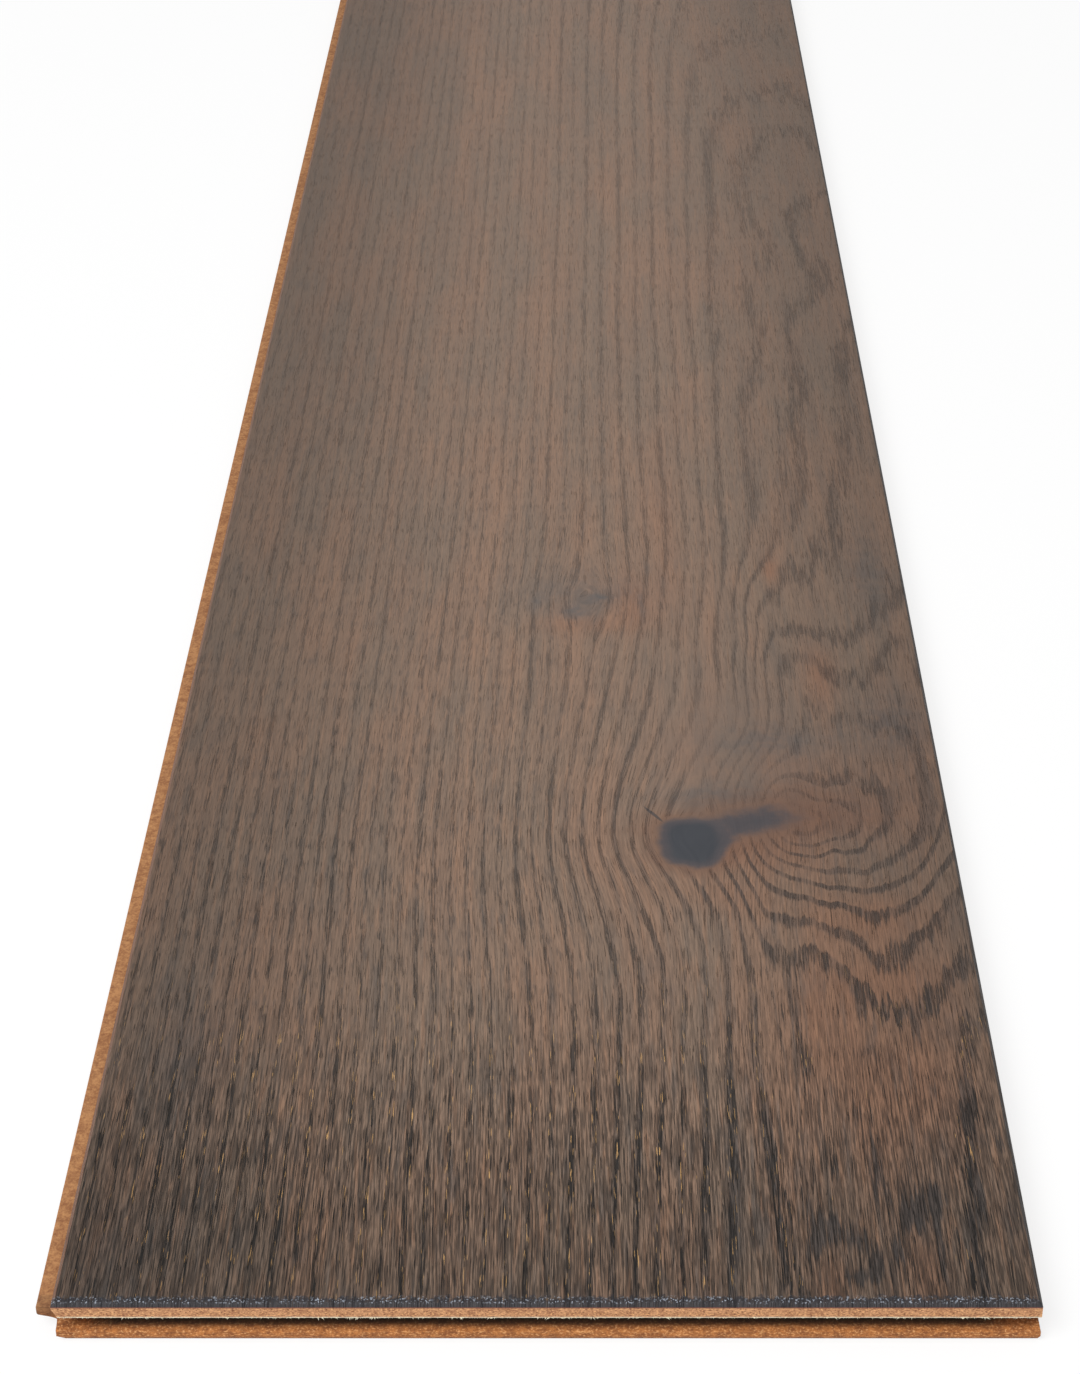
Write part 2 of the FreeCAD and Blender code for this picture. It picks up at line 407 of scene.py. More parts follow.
fibre = fibre_line(gx, gy)
for amount, length, width, shift_y, shift_x in SWAYS:
    fibre = fibre + amount * wander(gy / length + shift_y, gx / width + shift_x)
year = years(gx, gy)
years_per_mm = np.hypot(np.gradient(year, xs, axis=1), np.gradient(year, ys, axis=0))
flat = smoothstep(*FLAT_RINGS, 1.0 / np.maximum(years_per_mm, 0.02))
open_part = np.interp(gy, *np.array(BAND).T) * years_per_mm
open_part = np.clip(open_part, 0.05, 0.38 + 0.2 * flat)
for amount, width, length, shift in FLICKERS:
    year = year + amount * wander(fibre / width + shift, gy / length) * (0.07 + 0.22 * flat)
print("years", round(float(year.min()), 1), "to", round(float(year.max()), 1))

# %% Height of the brushed face
BRUSH_DEPTH = 0.16
KNOT_DEPTH = 0.12
SCRATCH_PITCH, SCRATCH_LENGTH = 0.9, 24
UNBRUSHED_EDGE = (0.3, 2.5)

part_of_band = ((year + 0.5 * open_part) % 1.0) / open_part
spring_wood = smoothstep(0.0, 0.3, part_of_band) * (1.0 - smoothstep(0.5, 1.1, part_of_band))
scratches = 0.5 + 0.5 * wander(fibre / SCRATCH_PITCH + 7, gy / SCRATCH_LENGTH)
knot = knot_distance(gx, gy)
worn = BRUSH_DEPTH * (0.6 * spring_wood + 0.4 * scratches) * smoothstep(0.9, 1.4, knot)
worn = worn + KNOT_DEPTH * (1.0 - smoothstep(0.5, 1.1, knot))
inset_x = HALF_W - np.abs(gx)
inset_y = np.minimum(gy, LENGTH - gy)
form = np.minimum(edge_section(inset_x, LONG_EASE), edge_section(inset_y, END_EASE))
height = form - worn * smoothstep(*UNBRUSHED_EDGE, inset_x) * smoothstep(*UNBRUSHED_EDGE, inset_y)
print("deepest wear", round(float(worn.max()), 2), "mm")

# %% [markdown]
# The mesh
#
# The grid becomes a closed solid: the brushed face on top, upright walls down to the glue line
# and one flat face below. It could be sculpted, but a mesh from arrays is exact and quick. What
# is known at each point is stored on it as attributes, so that the material can draw the
# same rings that the relief has.

# %% Mesh of the oak face
nx, ny = len(xs), len(ys)
points = np.stack([gx.ravel() * MM, gy.ravel() * MM + FRONT, height.ravel() * MM], axis=1)
grid = np.arange(nx * ny).reshape(ny, nx)
quads = np.stack([grid[:-1, :-1], grid[:-1, 1:], grid[1:, 1:], grid[1:, :-1]], axis=-1).reshape(-1, 4)
rim = np.concatenate([grid[0, :], grid[1:, -1], grid[-1, -2::-1], grid[-2:0:-1, 0]])
foot = points[rim].copy()
foot[:, 2] = GLUE * MM
foot_ids = np.arange(len(rim)) + len(points)
after = np.roll(np.arange(len(rim)), -1)
walls = np.stack([foot_ids, foot_ids[after], rim[after], rim], axis=-1)
oak_mesh = bpy.data.meshes.new("oak_face")
faces = quads.tolist() + walls.tolist() + [foot_ids[::-1].tolist()]
oak_mesh.from_pydata(np.vstack([points, foot]).tolist(), [], faces)
oak_mesh.polygons.foreach_set("use_smooth", [True] * len(oak_mesh.polygons))
oak_mesh.set_sharp_from_angle(angle=math.radians(28))
oak_mesh.update()
oak_mesh.calc_loop_triangles()
print("oak face:", len(oak_mesh.loop_triangles), "triangles")

# %% What the face knows at each point
BOLDNESS = [
    (-1, 0.2), (2, 0.5), (3, 0.85), (4, 1), (7, 1), (8, 1.05), (9, 0.95), (10.5, 0.85), (13, 0.65),
    (16, 0.4), (20, 0.25), (42, 0.15),
]
FIELDS = {
    "fibre": fibre * MM,
    "year": year,
    "flat": flat,
    "open": open_part,
    "bold": np.interp(year, *np.array(BOLDNESS).T),
    "knot": knot,
    "warm": soft_patches(WARM_PATCHES, gx, gy),
    "grey": soft_patches(GREY_PATCHES, gx, gy),
    "grazed": soft_patches(GRAZED_PATCHES, gx, gy),
    "calm": soft_patches(CALM_PATCHES, gx, gy),
}
for name, values in FIELDS.items():
    flat_values = values.ravel()
    with_foot = np.concatenate([flat_values, flat_values[rim]]).astype(np.float32)
    oak_mesh.attributes.new(name, "FLOAT", "POINT").data.foreach_set("value", with_foot)
oak_face = bpy.data.objects.new("oak_face", oak_mesh)
bpy.context.collection.objects.link(oak_face)
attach(oak_face, "root")
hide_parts("oak_veneer")
print("fields on the face:", ", ".join(FIELDS))

# %% [markdown]
# Shader helpers
#
# A few lines make node work readable: one call adds a node, sets its inputs and links what
# is already a socket. Places on a piece are turned into millimetres, so that every distance in
# the materials is in the same unit as the drawing.

# %% Node helpers
def join(tree, value, port):
    """Links a socket to a port, or sets the port to a plain value."""
    if isinstance(value, bpy.types.NodeSocket):
        tree.links.new(value, port)
    else:
        port.default_value = value


def add(tree, kind, out=0, props=None, **inputs):
    """Adds a node, gives its inputs by name (i0, i1 by place) and returns an output."""
    node = tree.nodes.new(kind)
    for key, value in (props or {}).items():
        setattr(node, key, value)
    for key, value in inputs.items():
        by_place = key[0] == "i" and key[1:].isdigit()
        join(tree, value, node.inputs[int(key[1:]) if by_place else key.replace("_", " ")])
    return node.outputs[out]


def sums(tree, operation, a, b=0.0, c=0.0):
    return add(tree, "ShaderNodeMath", props={"operation": operation}, i0=a, i1=b, i2=c)


def product(tree, first, *others):
    """Multiplies any number of values."""
    for value in others:
        first = sums(tree, "MULTIPLY", first, value)
    return first


def ease(tree, value, low, high, to_low=0.0, to_high=1.0):
    """A soft step from one value to another."""
    ends = {"From_Min": low, "From_Max": high, "To_Min": to_low, "To_Max": to_high}
    return add(tree, "ShaderNodeMapRange", props={"interpolation_type": "SMOOTHSTEP"}, Value=value, **ends)


print("number helpers ready")


# %% Colour and material helpers
def mix(tree, factor, a, b, blend="MIX"):
    props = {"data_type": "RGBA", "blend_type": blend}
    return add(tree, "ShaderNodeMix", out=2, props=props, i0=factor, i6=a, i7=b)


def srgb(red, green, blue):
    def linear(v):
        v = v / 255
        return v / 12.92 if v <= 0.04045 else ((v + 0.055) / 1.055) ** 2.4

    return (linear(red), linear(green), linear(blue), 1.0)


def new_material(name):
    material = bpy.data.materials.new(name)
    material.use_nodes = True
    return material, material.node_tree, material.node_tree.nodes["Principled BSDF"]


def object_place(tree):
    """The place on a piece, and its three coordinates in millimetres."""
    place = add(tree, "ShaderNodeTexCoord", out="Object")
    axes = [add(tree, "ShaderNodeSeparateXYZ", out=axis, Vector=place) for axis in "XYZ"]
    return place, *[sums(tree, "DIVIDE", axis, MM) for axis in axes]


FLOAT = "NodeSocketFloat"
print("colour helpers ready")

# %% [markdown]
# Streaks along the fibre
#
# Nearly everything on oak is longer than it is wide. One group makes noise that is stretched
# along the fibre line: it takes the sideways fibre coordinate of the mesh, so its streaks
# swerve round the knots, and a width and a length in millimetres.

# %% Node group: fibre streaks
streaks = bpy.data.node_groups.new("fibre_streaks", "ShaderNodeTree")
for label, default in (("Width", 1.0), ("Length", 30.0), ("Seed", 0.0), ("Detail", 1.0)):
    streaks.interface.new_socket(label, in_out="INPUT", socket_type=FLOAT).default_value = default
streaks.interface.new_socket("Value", in_out="OUTPUT", socket_type=FLOAT)
given = streaks.nodes.new("NodeGroupInput").outputs
fibre_at = add(streaks, "ShaderNodeAttribute", out="Fac", props={"attribute_name": "fibre"})
at_point = add(streaks, "ShaderNodeTexCoord", out="Object")
along_y = add(streaks, "ShaderNodeSeparateXYZ", out="Y", Vector=at_point)
across = sums(streaks, "DIVIDE", sums(streaks, "MULTIPLY", fibre_at, 1.0 / MM), given["Width"])
lengthwise = sums(streaks, "DIVIDE", sums(streaks, "MULTIPLY", along_y, 1.0 / MM), given["Length"])
where = add(streaks, "ShaderNodeCombineXYZ", X=across, Y=lengthwise, Z=given["Seed"])
texture = {"Scale": 1.0, "Detail": given["Detail"], "Roughness": 0.55}
noise = add(streaks, "ShaderNodeTexNoise", Vector=where, **texture)
streaks.links.new(noise, streaks.nodes.new("NodeGroupOutput").inputs["Value"])


def streak(tree, width, length, seed, detail=1.0):
    node = tree.nodes.new("ShaderNodeGroup")
    node.node_tree = streaks
    for label, value in (("Width", width), ("Length", length), ("Seed", seed), ("Detail", detail)):
        node.inputs[label].default_value = value
    return node.outputs["Value"]


print("group", streaks.name, "with", len(streaks.nodes), "nodes")

# %% [markdown]
# Stained oak: the years
#
# The stain sinks deepest where the wood is open, so each ring starts with a dark line and fades
# into harder wood. Where the cut is steep the line is a row of narrow pores, and where it is
# flat the same row is spread into a wide ragged band. No two years are alike, so each one
# draws its own strength from its number. The photograph shows the figure sharp at the front
# and softer further away, so it is crisp near both ends and soft towards the middle.

# %% Oak: where the figure is crisp
oak, tree, shader = new_material("stained_oak")


def face_value(name):
    return add(oak.node_tree, "ShaderNodeAttribute", out="Fac", props={"attribute_name": name})


NEAR_END = (20.0, 110.0)
place, place_x, place_y, place_z = object_place(tree)
from_end = sums(tree, "SUBTRACT", LENGTH / 2, sums(tree, "ABSOLUTE", place_y))
lumpy = add(tree, "ShaderNodeTexNoise", Vector=place, Scale=220.0, Detail=3.0, Roughness=0.6)
knot_edge = sums(tree, "MULTIPLY_ADD", sums(tree, "SUBTRACT", lumpy, 0.5), 0.3, face_value("knot"))
grey = face_value("grey")
crisp = product(
    tree,
    ease(tree, from_end, *NEAR_END, 1.25, 0.68),
    ease(tree, knot_edge, 0.95, 1.25),
    ease(tree, from_end, 120.0, 250.0, 1.0, 0.66),
    ease(tree, from_end, 300.0, 550.0, 1.0, 0.75),
    ease(tree, grey, 0.45, 0.8, 1.0, 0.4),
    ease(tree, face_value("calm"), 0.15, 0.85, 1.0, 0.35),
)
brushed = product(tree, crisp, ease(tree, from_end, *NEAR_END, 1.1, 0.5))
blurred = ease(tree, from_end, 150.0, 310.0)
print("crispness uses", len(tree.nodes), "nodes")

# %% Oak: ring lines
ragged = sums(tree, "SUBTRACT", streak(tree, 0.8, 14.0, 3.0, 2.0), 0.5)
ragged_by = ease(tree, face_value("flat"), 0.0, 1.0, 0.16, 0.75)
open_at = face_value("open")
year_at = sums(tree, "MULTIPLY_ADD", ragged, ragged_by, face_value("year"))
year_at = sums(tree, "MULTIPLY_ADD", open_at, 0.5, year_at)
part = sums(tree, "DIVIDE", sums(tree, "FRACT", year_at), open_at)
line_start = ease(tree, part, 0.0, ease(tree, blurred, 0.0, 1.0, 0.25, 0.7))
line_end = ease(tree, part, 0.65, ease(tree, blurred, 0.0, 1.0, 1.1, 1.4), 1.0, 0.0)
line = product(tree, line_start, line_end)
whole_year = sums(tree, "FLOOR", year_at)
own = add(tree, "ShaderNodeTexWhiteNoise", props={"noise_dimensions": "1D"}, W=whole_year)
patchy = streak(tree, 3.0, 35.0, 57.0, 2.0)
least = ease(tree, face_value("flat"), 0.0, 1.0, 0.85, 0.5)
line_seen = product(
    tree,
    line,
    face_value("bold"),
    ease(tree, own, 0.0, 1.0, 0.75, 1.1),
    ease(tree, patchy, 0.38, 0.6, 0.6, 1.0),
    ease(tree, streak(tree, 1.2, 8.0, 91.0, 2.0), 0.35, 0.6, least, 1.0),
)
print("with ring lines", len(tree.nodes), "nodes")

# %% Oak: flames where the cut grazes a ring
broken = sums(tree, "SUBTRACT", streak(tree, 0.7, 16.0, 95.0, 3.0), 0.5)
grazed = face_value("grazed")
flame = ease(tree, sums(tree, "MULTIPLY_ADD", broken, 1.8, grazed), 0.35, 0.65)
flame = product(tree, flame, ease(tree, grazed, 0.1, 0.3), 0.75)
line_seen = product(tree, sums(tree, "MAXIMUM", line_seen, flame), crisp)
print("with flames", len(tree.nodes), "nodes")

# %% Oak: pores and dashes
pore_push = product(
    tree,
    sums(tree, "MULTIPLY_ADD", flame, 0.5, line),
    ease(tree, own, 0.0, 1.0, 0.07, 0.14),
    ease(tree, patchy, 0.35, 0.55, 0.4, 1.1),
    ease(tree, face_value("year"), 1.0, 4.0, 0.35, 1.0),
)
short_pores = ease(tree, sums(tree, "ADD", streak(tree, 0.2, 7.0, 11.0), pore_push), 0.66, 0.71)
long_pores = ease(tree, sums(tree, "ADD", streak(tree, 0.28, 16.0, 17.0), pore_push), 0.66, 0.72)
pores = sums(tree, "MAXIMUM", short_pores, long_pores)
pores = product(tree, pores, crisp, ease(tree, from_end, 80.0, 200.0, 1.0, 0.7))
dashes = sums(tree, "MULTIPLY_ADD", line, 0.13, streak(tree, 0.6, 6.0, 19.0))
dashes = product(
    tree,
    ease(tree, dashes, 0.58, 0.7),
    ease(tree, face_value("bold"), 0.3, 0.7, 1.0, 0.1),
    ease(tree, from_end, 30.0, 120.0, 0.1, 0.6),
    ease(tree, from_end, 250.0, 500.0, 1.0, 0.4),
    crisp,
)
print("with pores and dashes", len(tree.nodes), "nodes")

# %% [markdown]
# Stained oak: the colour
#
# Between the lines the wood is a warm brown in fine light and dark threads, some redder and some
# greyer. A picture could hold all this, but streaks stay sharp from any distance. Over the wood
# come the grey smoke, the lines and the pores, then the threads of the brush with a painted
# shade in the gaps between them, and last a few painted highlights that glint along the pores.

# %% Oak: wood between the lines
BROWN, WARM_BROWN, DULL_BROWN = srgb(125, 104, 88), srgb(134, 106, 87), srgb(109, 93, 81)
RED_PATCH, RED_THREAD = srgb(140, 96, 70), srgb(150, 113, 88)
GREY_THREAD, POOLED_STAIN = srgb(84, 80, 77), srgb(68, 69, 70)

warm = streak(tree, 14.0, 80.0, 41.0, 2.0)
broad = streak(tree, 5.0, 140.0, 31.0, 2.0)
blotch = streak(tree, 5.0, 20.0, 37.0, 3.0)
red_thread = streak(tree, 1.1, 20.0, 29.0, 2.0)
grey_thread = streak(tree, 1.5, 24.0, 71.0, 2.0)
wood = mix(tree, ease(tree, warm, 0.35, 0.65), BROWN, WARM_BROWN)
wood = mix(tree, ease(tree, broad, 0.3, 0.7, 0.0, 0.4), wood, DULL_BROWN)
wood = mix(tree, product(tree, face_value("warm"), 0.55), wood, RED_PATCH)
redder = product(tree, ease(tree, red_thread, 0.52, 0.7, 0.0, 0.5), crisp)
wood = mix(tree, redder, wood, RED_THREAD)
greyer = product(tree, ease(tree, grey_thread, 0.52, 0.72, 0.0, 0.4), crisp)
wood = mix(tree, greyer, wood, GREY_THREAD)
pooled = product(tree, ease(tree, blotch, 0.55, 0.72, 0.0, 0.35), crisp)
wood = mix(tree, pooled, wood, POOLED_STAIN)
print("with the wood between the lines", len(tree.nodes), "nodes")

# %% Oak: smoke, lines and pores over it
SMOKE, RING_LINE, DASH, PORE = srgb(78, 78, 79), srgb(67, 63, 62), srgb(64, 61, 60), srgb(44, 39, 36)

smoke = product(tree, grey, ease(tree, lumpy, 0.35, 0.6, 0.6, 1.0))
wood = mix(tree, smoke, wood, SMOKE)
wood = mix(tree, product(tree, line_seen, 0.85), wood, RING_LINE)
wood = mix(tree, dashes, wood, DASH)
wood = mix(tree, product(tree, pores, 0.85), wood, PORE)
print("with lines and pores", len(tree.nodes), "nodes")

# %% Oak: threads of the brush, painted shade in their gaps and painted glints
STRAND_SHADE, GLINT_HIGHLIGHT = srgb(46, 40, 35), srgb(224, 176, 116)
STRAND_PITCH = 0.9

fine = streak(tree, 0.45, 13.0, 23.0, 2.0)
hair = streak(tree, 0.26, 5.0, 47.0, 1.0)
wood = mix(tree, brushed, wood, ease(tree, fine, 0.44, 0.56, 0.63, 1.32), "MULTIPLY")
wood = mix(tree, brushed, wood, ease(tree, hair, 0.42, 0.58, 0.78, 1.2), "MULTIPLY")
strand = sums(tree, "DIVIDE", face_value("fibre"), STRAND_PITCH * MM)
strand = sums(tree, "FRACT", sums(tree, "MULTIPLY_ADD", streak(tree, 3.0, 40.0, 101.0), 2.5, strand))
# Each brushed strand is painted darker towards one side, a painted shade in the gap beside it.
painted_strand_shade = product(
    tree,
    ease(tree, strand, 0.0, 0.4, 0.6, 0.0),
    brushed,
    ease(tree, streak(tree, 0.9, 11.0, 103.0), 0.45, 0.56),
    ease(tree, from_end, 100.0, 300.0, 1.0, 0.0),
)
wood = mix(tree, painted_strand_shade, wood, STRAND_SHADE)
# The glints are painted highlights along the ring lines, near the ends only.
glint_push = sums(tree, "MULTIPLY_ADD", line, 0.12, streak(tree, 0.25, 6.0, 83.0))
glint_push = sums(tree, "MULTIPLY_ADD", flame, -0.2, glint_push)
glint = product(
    tree,
    ease(tree, glint_push, 0.755, 0.785),
    ease(tree, from_end, 40.0, 120.0, 1.0, 0.0),
    ease(tree, blotch, 0.4, 0.52, 0.2, 1.0),
)
wood = mix(tree, glint, wood, GLINT_HIGHLIGHT)
print("with the marks of the brush", len(tree.nodes), "nodes")

# %% [markdown]
# Stained oak: knots and edges
#
# A knot is a blue-black heart in a red-brown halo, with a short crack beside the large one. The
# face is painted darker towards the edges and the ends, a painted shade where the light falls off. The
# bevels were stained on their own: brown on the left, nearly black on the right and across the
# front, where pale specks are painted on as sparkle.

# %% Oak: knots
KNOT_HALO, KNOT_RIM, KNOT_HEART = srgb(108, 73, 54), srgb(72, 67, 70), srgb(54, 57, 63)
CRACK_PLACE, CRACK_SIZE, CRACK_TURN = (23.8, 163.8), (0.55, 4.8), 34.0
CRACK_DARK = srgb(62, 58, 58)

wood = mix(tree, ease(tree, knot_edge, 1.0, 1.7, 0.5, 0.0), wood, KNOT_HALO)
wood = mix(tree, ease(tree, knot_edge, 0.86, 1.12, 0.95, 0.0), wood, KNOT_RIM)
wood = mix(tree, ease(tree, knot_edge, 0.55, 0.95, 0.95, 0.0), wood, KNOT_HEART)
crack_place = {
    "Location": (CRACK_PLACE[0] * MM, FRONT + CRACK_PLACE[1] * MM, TOP * MM),
    "Rotation": (0.0, 0.0, math.radians(CRACK_TURN)),
    "Scale": (CRACK_SIZE[0] * MM, CRACK_SIZE[1] * MM, 1.0),
}
in_crack = add(tree, "ShaderNodeMapping", props={"vector_type": "TEXTURE"}, Vector=place, **crack_place)
crack = add(tree, "ShaderNodeVectorMath", out="Value", props={"operation": "LENGTH"}, i0=in_crack)
wood = mix(tree, ease(tree, crack, 0.6, 1.0, 0.8, 0.0), wood, CRACK_DARK)
print("with the knots", len(tree.nodes), "nodes")

# %% Oak: painted shade towards the edges and ends
from_left = sums(tree, "ADD", place_x, HALF_W)
from_right = sums(tree, "SUBTRACT", HALF_W, place_x)
# The face is painted darker towards both long edges and both ends, a painted shade where the light falls
# off.
painted_right_shade = product(
    tree,
    ease(tree, from_end, 50.0, 100.0, 0.8, 0.73),
    ease(tree, from_end, 100.0, 350.0, 1.0, 0.92),
)
painted_edge_shades = [
    ease(tree, from_left, 0.0, 80.0, 0.635, 1.0),
    ease(tree, from_right, 0.0, 70.0, painted_right_shade, 1.0),
    ease(tree, from_end, 0.0, 115.0, 0.64, 1.0),
    ease(tree, from_end, 50.0, 250.0, 0.93, 1.0),
]
for shade in painted_edge_shades:
    wood = mix(tree, 1.0, wood, shade, "MULTIPLY")
print("with the heavier stain", len(tree.nodes), "nodes")

# %% Oak: bevels
LEFT_BEVEL, RIGHT_BEVEL, END_BEVEL = srgb(112, 78, 60), srgb(44, 39, 38), srgb(42, 41, 45)
BEVEL_SPARKLE, END_WALL = srgb(160, 166, 178), srgb(122, 70, 54)
BEVEL_BLEND = (BEVEL - 0.15, BEVEL + 0.15)

wood = mix(tree, ease(tree, from_left, *BEVEL_BLEND, 0.85, 0.0), wood, LEFT_BEVEL)
wood = mix(tree, ease(tree, from_right, *BEVEL_BLEND, 0.85, 0.0), wood, RIGHT_BEVEL)
chipped = add(tree, "ShaderNodeTexNoise", Vector=place, Scale=900.0, Detail=2.0)
uneven = sums(tree, "MULTIPLY_ADD", sums(tree, "SUBTRACT", chipped, 0.5), 4.0, from_end)
wood = mix(tree, ease(tree, uneven, 1.2, 2.4, 0.92, 0.0), wood, END_BEVEL)
# Pale specks on the end bevels are painted sparkle.
sparkle_noise = add(tree, "ShaderNodeTexNoise", Vector=place, Scale=2500.0, Detail=1.0)
painted_sparkle = product(
    tree,
    ease(tree, from_end, 1.1, 2.6, 1.0, 0.0),
    ease(tree, from_end, 0.3, 0.8),
    ease(tree, lumpy, 0.4, 0.58, 0.2, 0.95),
    ease(tree, sparkle_noise, 0.56, 0.67),
)
wood = mix(tree, painted_sparkle, wood, BEVEL_SPARKLE)
bevel_foot = TOP - END_EASE[1] - BEVEL
wood = mix(tree, ease(tree, place_z, bevel_foot - 0.03, bevel_foot + 0.03, 0.9, 0.0), wood, END_WALL)
print("with the bevels", len(tree.nodes), "nodes")

# %% Oak: satin finish and relief
tree.links.new(wood, shader.inputs["Base Color"])
tree.links.new(ease(tree, fine, 0.2, 0.8, 0.45, 0.6), shader.inputs["Roughness"])
shader.inputs["Specular IOR Level"].default_value = 0.35
grooves = sums(tree, "MULTIPLY_ADD", pores, -0.9, product(tree, line_seen, -0.4))
threads = sums(tree, "MULTIPLY_ADD", hair, 0.5, sums(tree, "MULTIPLY_ADD", red_thread, 0.6, fine))
relief = sums(tree, "MULTIPLY_ADD", threads, brushed, grooves)
bump = add(tree, "ShaderNodeBump", out="Normal", Strength=0.9, Distance=0.3 * MM, Height=relief)
tree.links.new(bump, shader.inputs["Normal"])
oak_mesh.materials.append(oak)
print("stained oak uses", len(tree.nodes), "nodes")

# %% [markdown]
# Fibreboard
#
# The core is wood ground to fibres and pressed hard. The fibres lie flat, so a milled edge shows
# clumps that are wider than they are high, with pale and dark flecks. The upper lip is paler and
# the lower lip redder. The tongue is darker and yellower, and the corner behind it has a painted shadow.

# %% Material: milled fibreboard
LIPS = (2.2, 5.8)
PALE_CLUMPS = srgb(164, 112, 76), srgb(203, 150, 106)
RED_CLUMPS = srgb(136, 80, 37), srgb(184, 117, 60)
LIGHT_FLECK, DARK_FLECK = srgb(230, 176, 120), srgb(110, 62, 32)

board, tree, shader = new_material("fibreboard")
place, place_x, place_y, place_z = object_place(tree)
lying = add(tree, "ShaderNodeMapping", Vector=place, Scale=(1.0, 1.0, 1.6))
clump = add(tree, "ShaderNodeTexNoise", Vector=lying, Scale=520.0, Detail=4.0, Roughness=0.7)
fleck = add(tree, "ShaderNodeTexNoise", Vector=lying, Scale=1900.0, Detail=2.0, Roughness=0.6)
clumped = ease(tree, clump, 0.35, 0.65)
upper_tone, lower_tone = mix(tree, clumped, *PALE_CLUMPS), mix(tree, clumped, *RED_CLUMPS)
tone = mix(tree, ease(tree, place_z, *LIPS), lower_tone, upper_tone)
from_left = sums(tree, "ADD", place_x, HALF_W)
on_tongue = ease(tree, from_left, -0.15, -0.05, 1.0, 0.0)
flecked = ease(tree, on_tongue, 0.0, 1.0, ease(tree, place_z, *LIPS, 0.6, 0.9), 0.3)
light_fleck = product(tree, ease(tree, fleck, 0.53, 0.66), flecked)
tone = mix(tree, light_fleck, tone, LIGHT_FLECK)
dark_fleck = product(tree, ease(tree, fleck, 0.34, 0.47, 1.0, 0.0), flecked)
tone = mix(tree, dark_fleck, tone, DARK_FLECK)
print("raw fibreboard uses", len(tree.nodes), "nodes")

# %% Fibreboard: the tongue, and a painted shadow at its root
TONGUE_TINT = (0.72, 0.67, 0.56, 1.0)
ROOT_SHADOW = srgb(58, 38, 26)

# The tongue is made darker and yellower.
tone = mix(tree, on_tongue, tone, TONGUE_TINT, "MULTIPLY")
into_end = sums(tree, "ADD", place_y, LENGTH / 2)
# A painted shadow darkens the tongue's top where it meets the wall of the face above it.
root = product(
    tree,
    ease(tree, place_z, 5.2, 5.4),
    ease(tree, into_end, 0.3, 0.6),
    ease(tree, from_left, -0.55, -0.05, 0.0, 0.85),
    ease(tree, from_left, 1.25, 1.45, 1.0, 0.0),
)
tone = mix(tree, root, tone, ROOT_SHADOW)
print("with the tongue", len(tree.nodes), "nodes")

# %% [markdown]
# Painted shade in the grooves and the torn seam
#
# The inside of a groove is painted dark as shade falls in its recess, and the lip above it keeps a pale seam
# of torn fibres with a painted highlight along it. Both are places on the section, so heights and depths
# pick them out, and the same clumps that colour the board break up the seam.

# %% Fibreboard: painted shade inside the grooves
GROOVE_FLOOR, GROOVE_CEILING = 2.25, 5.55
GROOVE_SHADE = srgb(40, 34, 27)

into_side = sums(tree, "SUBTRACT", HALF_W, place_x)
depth = sums(tree, "MINIMUM", into_end, into_side)
from_side = sums(tree, "SUBTRACT", HALF_W, sums(tree, "ABSOLUTE", place_x))
# The inside of each groove is painted dark, a painted shade in its recess.
painted_groove_shade = product(
    tree,
    ease(tree, place_z, GROOVE_FLOOR - 0.05, GROOVE_FLOOR + 0.15),
    ease(tree, place_z, GROOVE_CEILING - 0.05, GROOVE_CEILING + 0.05, 1.0, 0.0),
    ease(tree, depth, 0.4, 2.2, 0.0, 0.92),
    ease(tree, depth, 6.0, 7.0, 1.0, 0.0),
    ease(tree, from_side, 4.0, 12.0, 0.3, 1.0),
)
tone = mix(tree, painted_groove_shade, tone, GROOVE_SHADE)
print("with burnt grooves", len(tree.nodes), "nodes")

# %% Fibreboard: torn seam with painted highlight, painted shade at the foot, and relief
LIP_ROUND = 0.45
SEAM_AND_HIGHLIGHT, FOOT_SHADE = srgb(236, 231, 206), srgb(92, 54, 30)

# The pale seam is partly torn fibres and partly a painted highlight along the lip's lower edge.
torn_seam_and_highlight = product(
    tree,
    ease(tree, place_z, GROOVE_CEILING - 0.07, GROOVE_CEILING + 0.01),
    ease(tree, place_z, GROOVE_CEILING + 0.35, GROOVE_CEILING + 0.6, 1.0, 0.0),
    ease(tree, into_end, LIP_ROUND, LIP_ROUND + 0.1, 1.0, 0.0),
    ease(tree, clump, 0.4, 0.55, 0.5, 1.0),
)
tone = mix(tree, torn_seam_and_highlight, tone, SEAM_AND_HIGHLIGHT)
# The bottom of the board is painted darker, a painted shade along its foot.
tone = mix(tree, ease(tree, place_z, 0.1, 0.5, 0.6, 0.0), tone, FOOT_SHADE)
tree.links.new(tone, shader.inputs["Base Color"])
shader.inputs["Roughness"].default_value = 0.85
matted = sums(tree, "MULTIPLY_ADD", fleck, 0.5, clump)
bump = add(tree, "ShaderNodeBump", out="Normal", Strength=0.8, Distance=0.15 * MM, Height=matted)
tree.links.new(bump, shader.inputs["Normal"])
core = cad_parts["fibreboard_core"]
core.data.materials.clear()
core.data.materials.append(board)
print("fibreboard uses", len(tree.nodes), "nodes")

# %% [markdown]
# Torn fibres
#
# Where the cutter leaves the upper lip of the end groove it tears a fringe of short fibres loose.
# They repeat along an edge, which is what Geometry Nodes are for: points along a line, a thin
# cone on each, turned and sized at random, with noise that gathers them into tufts.

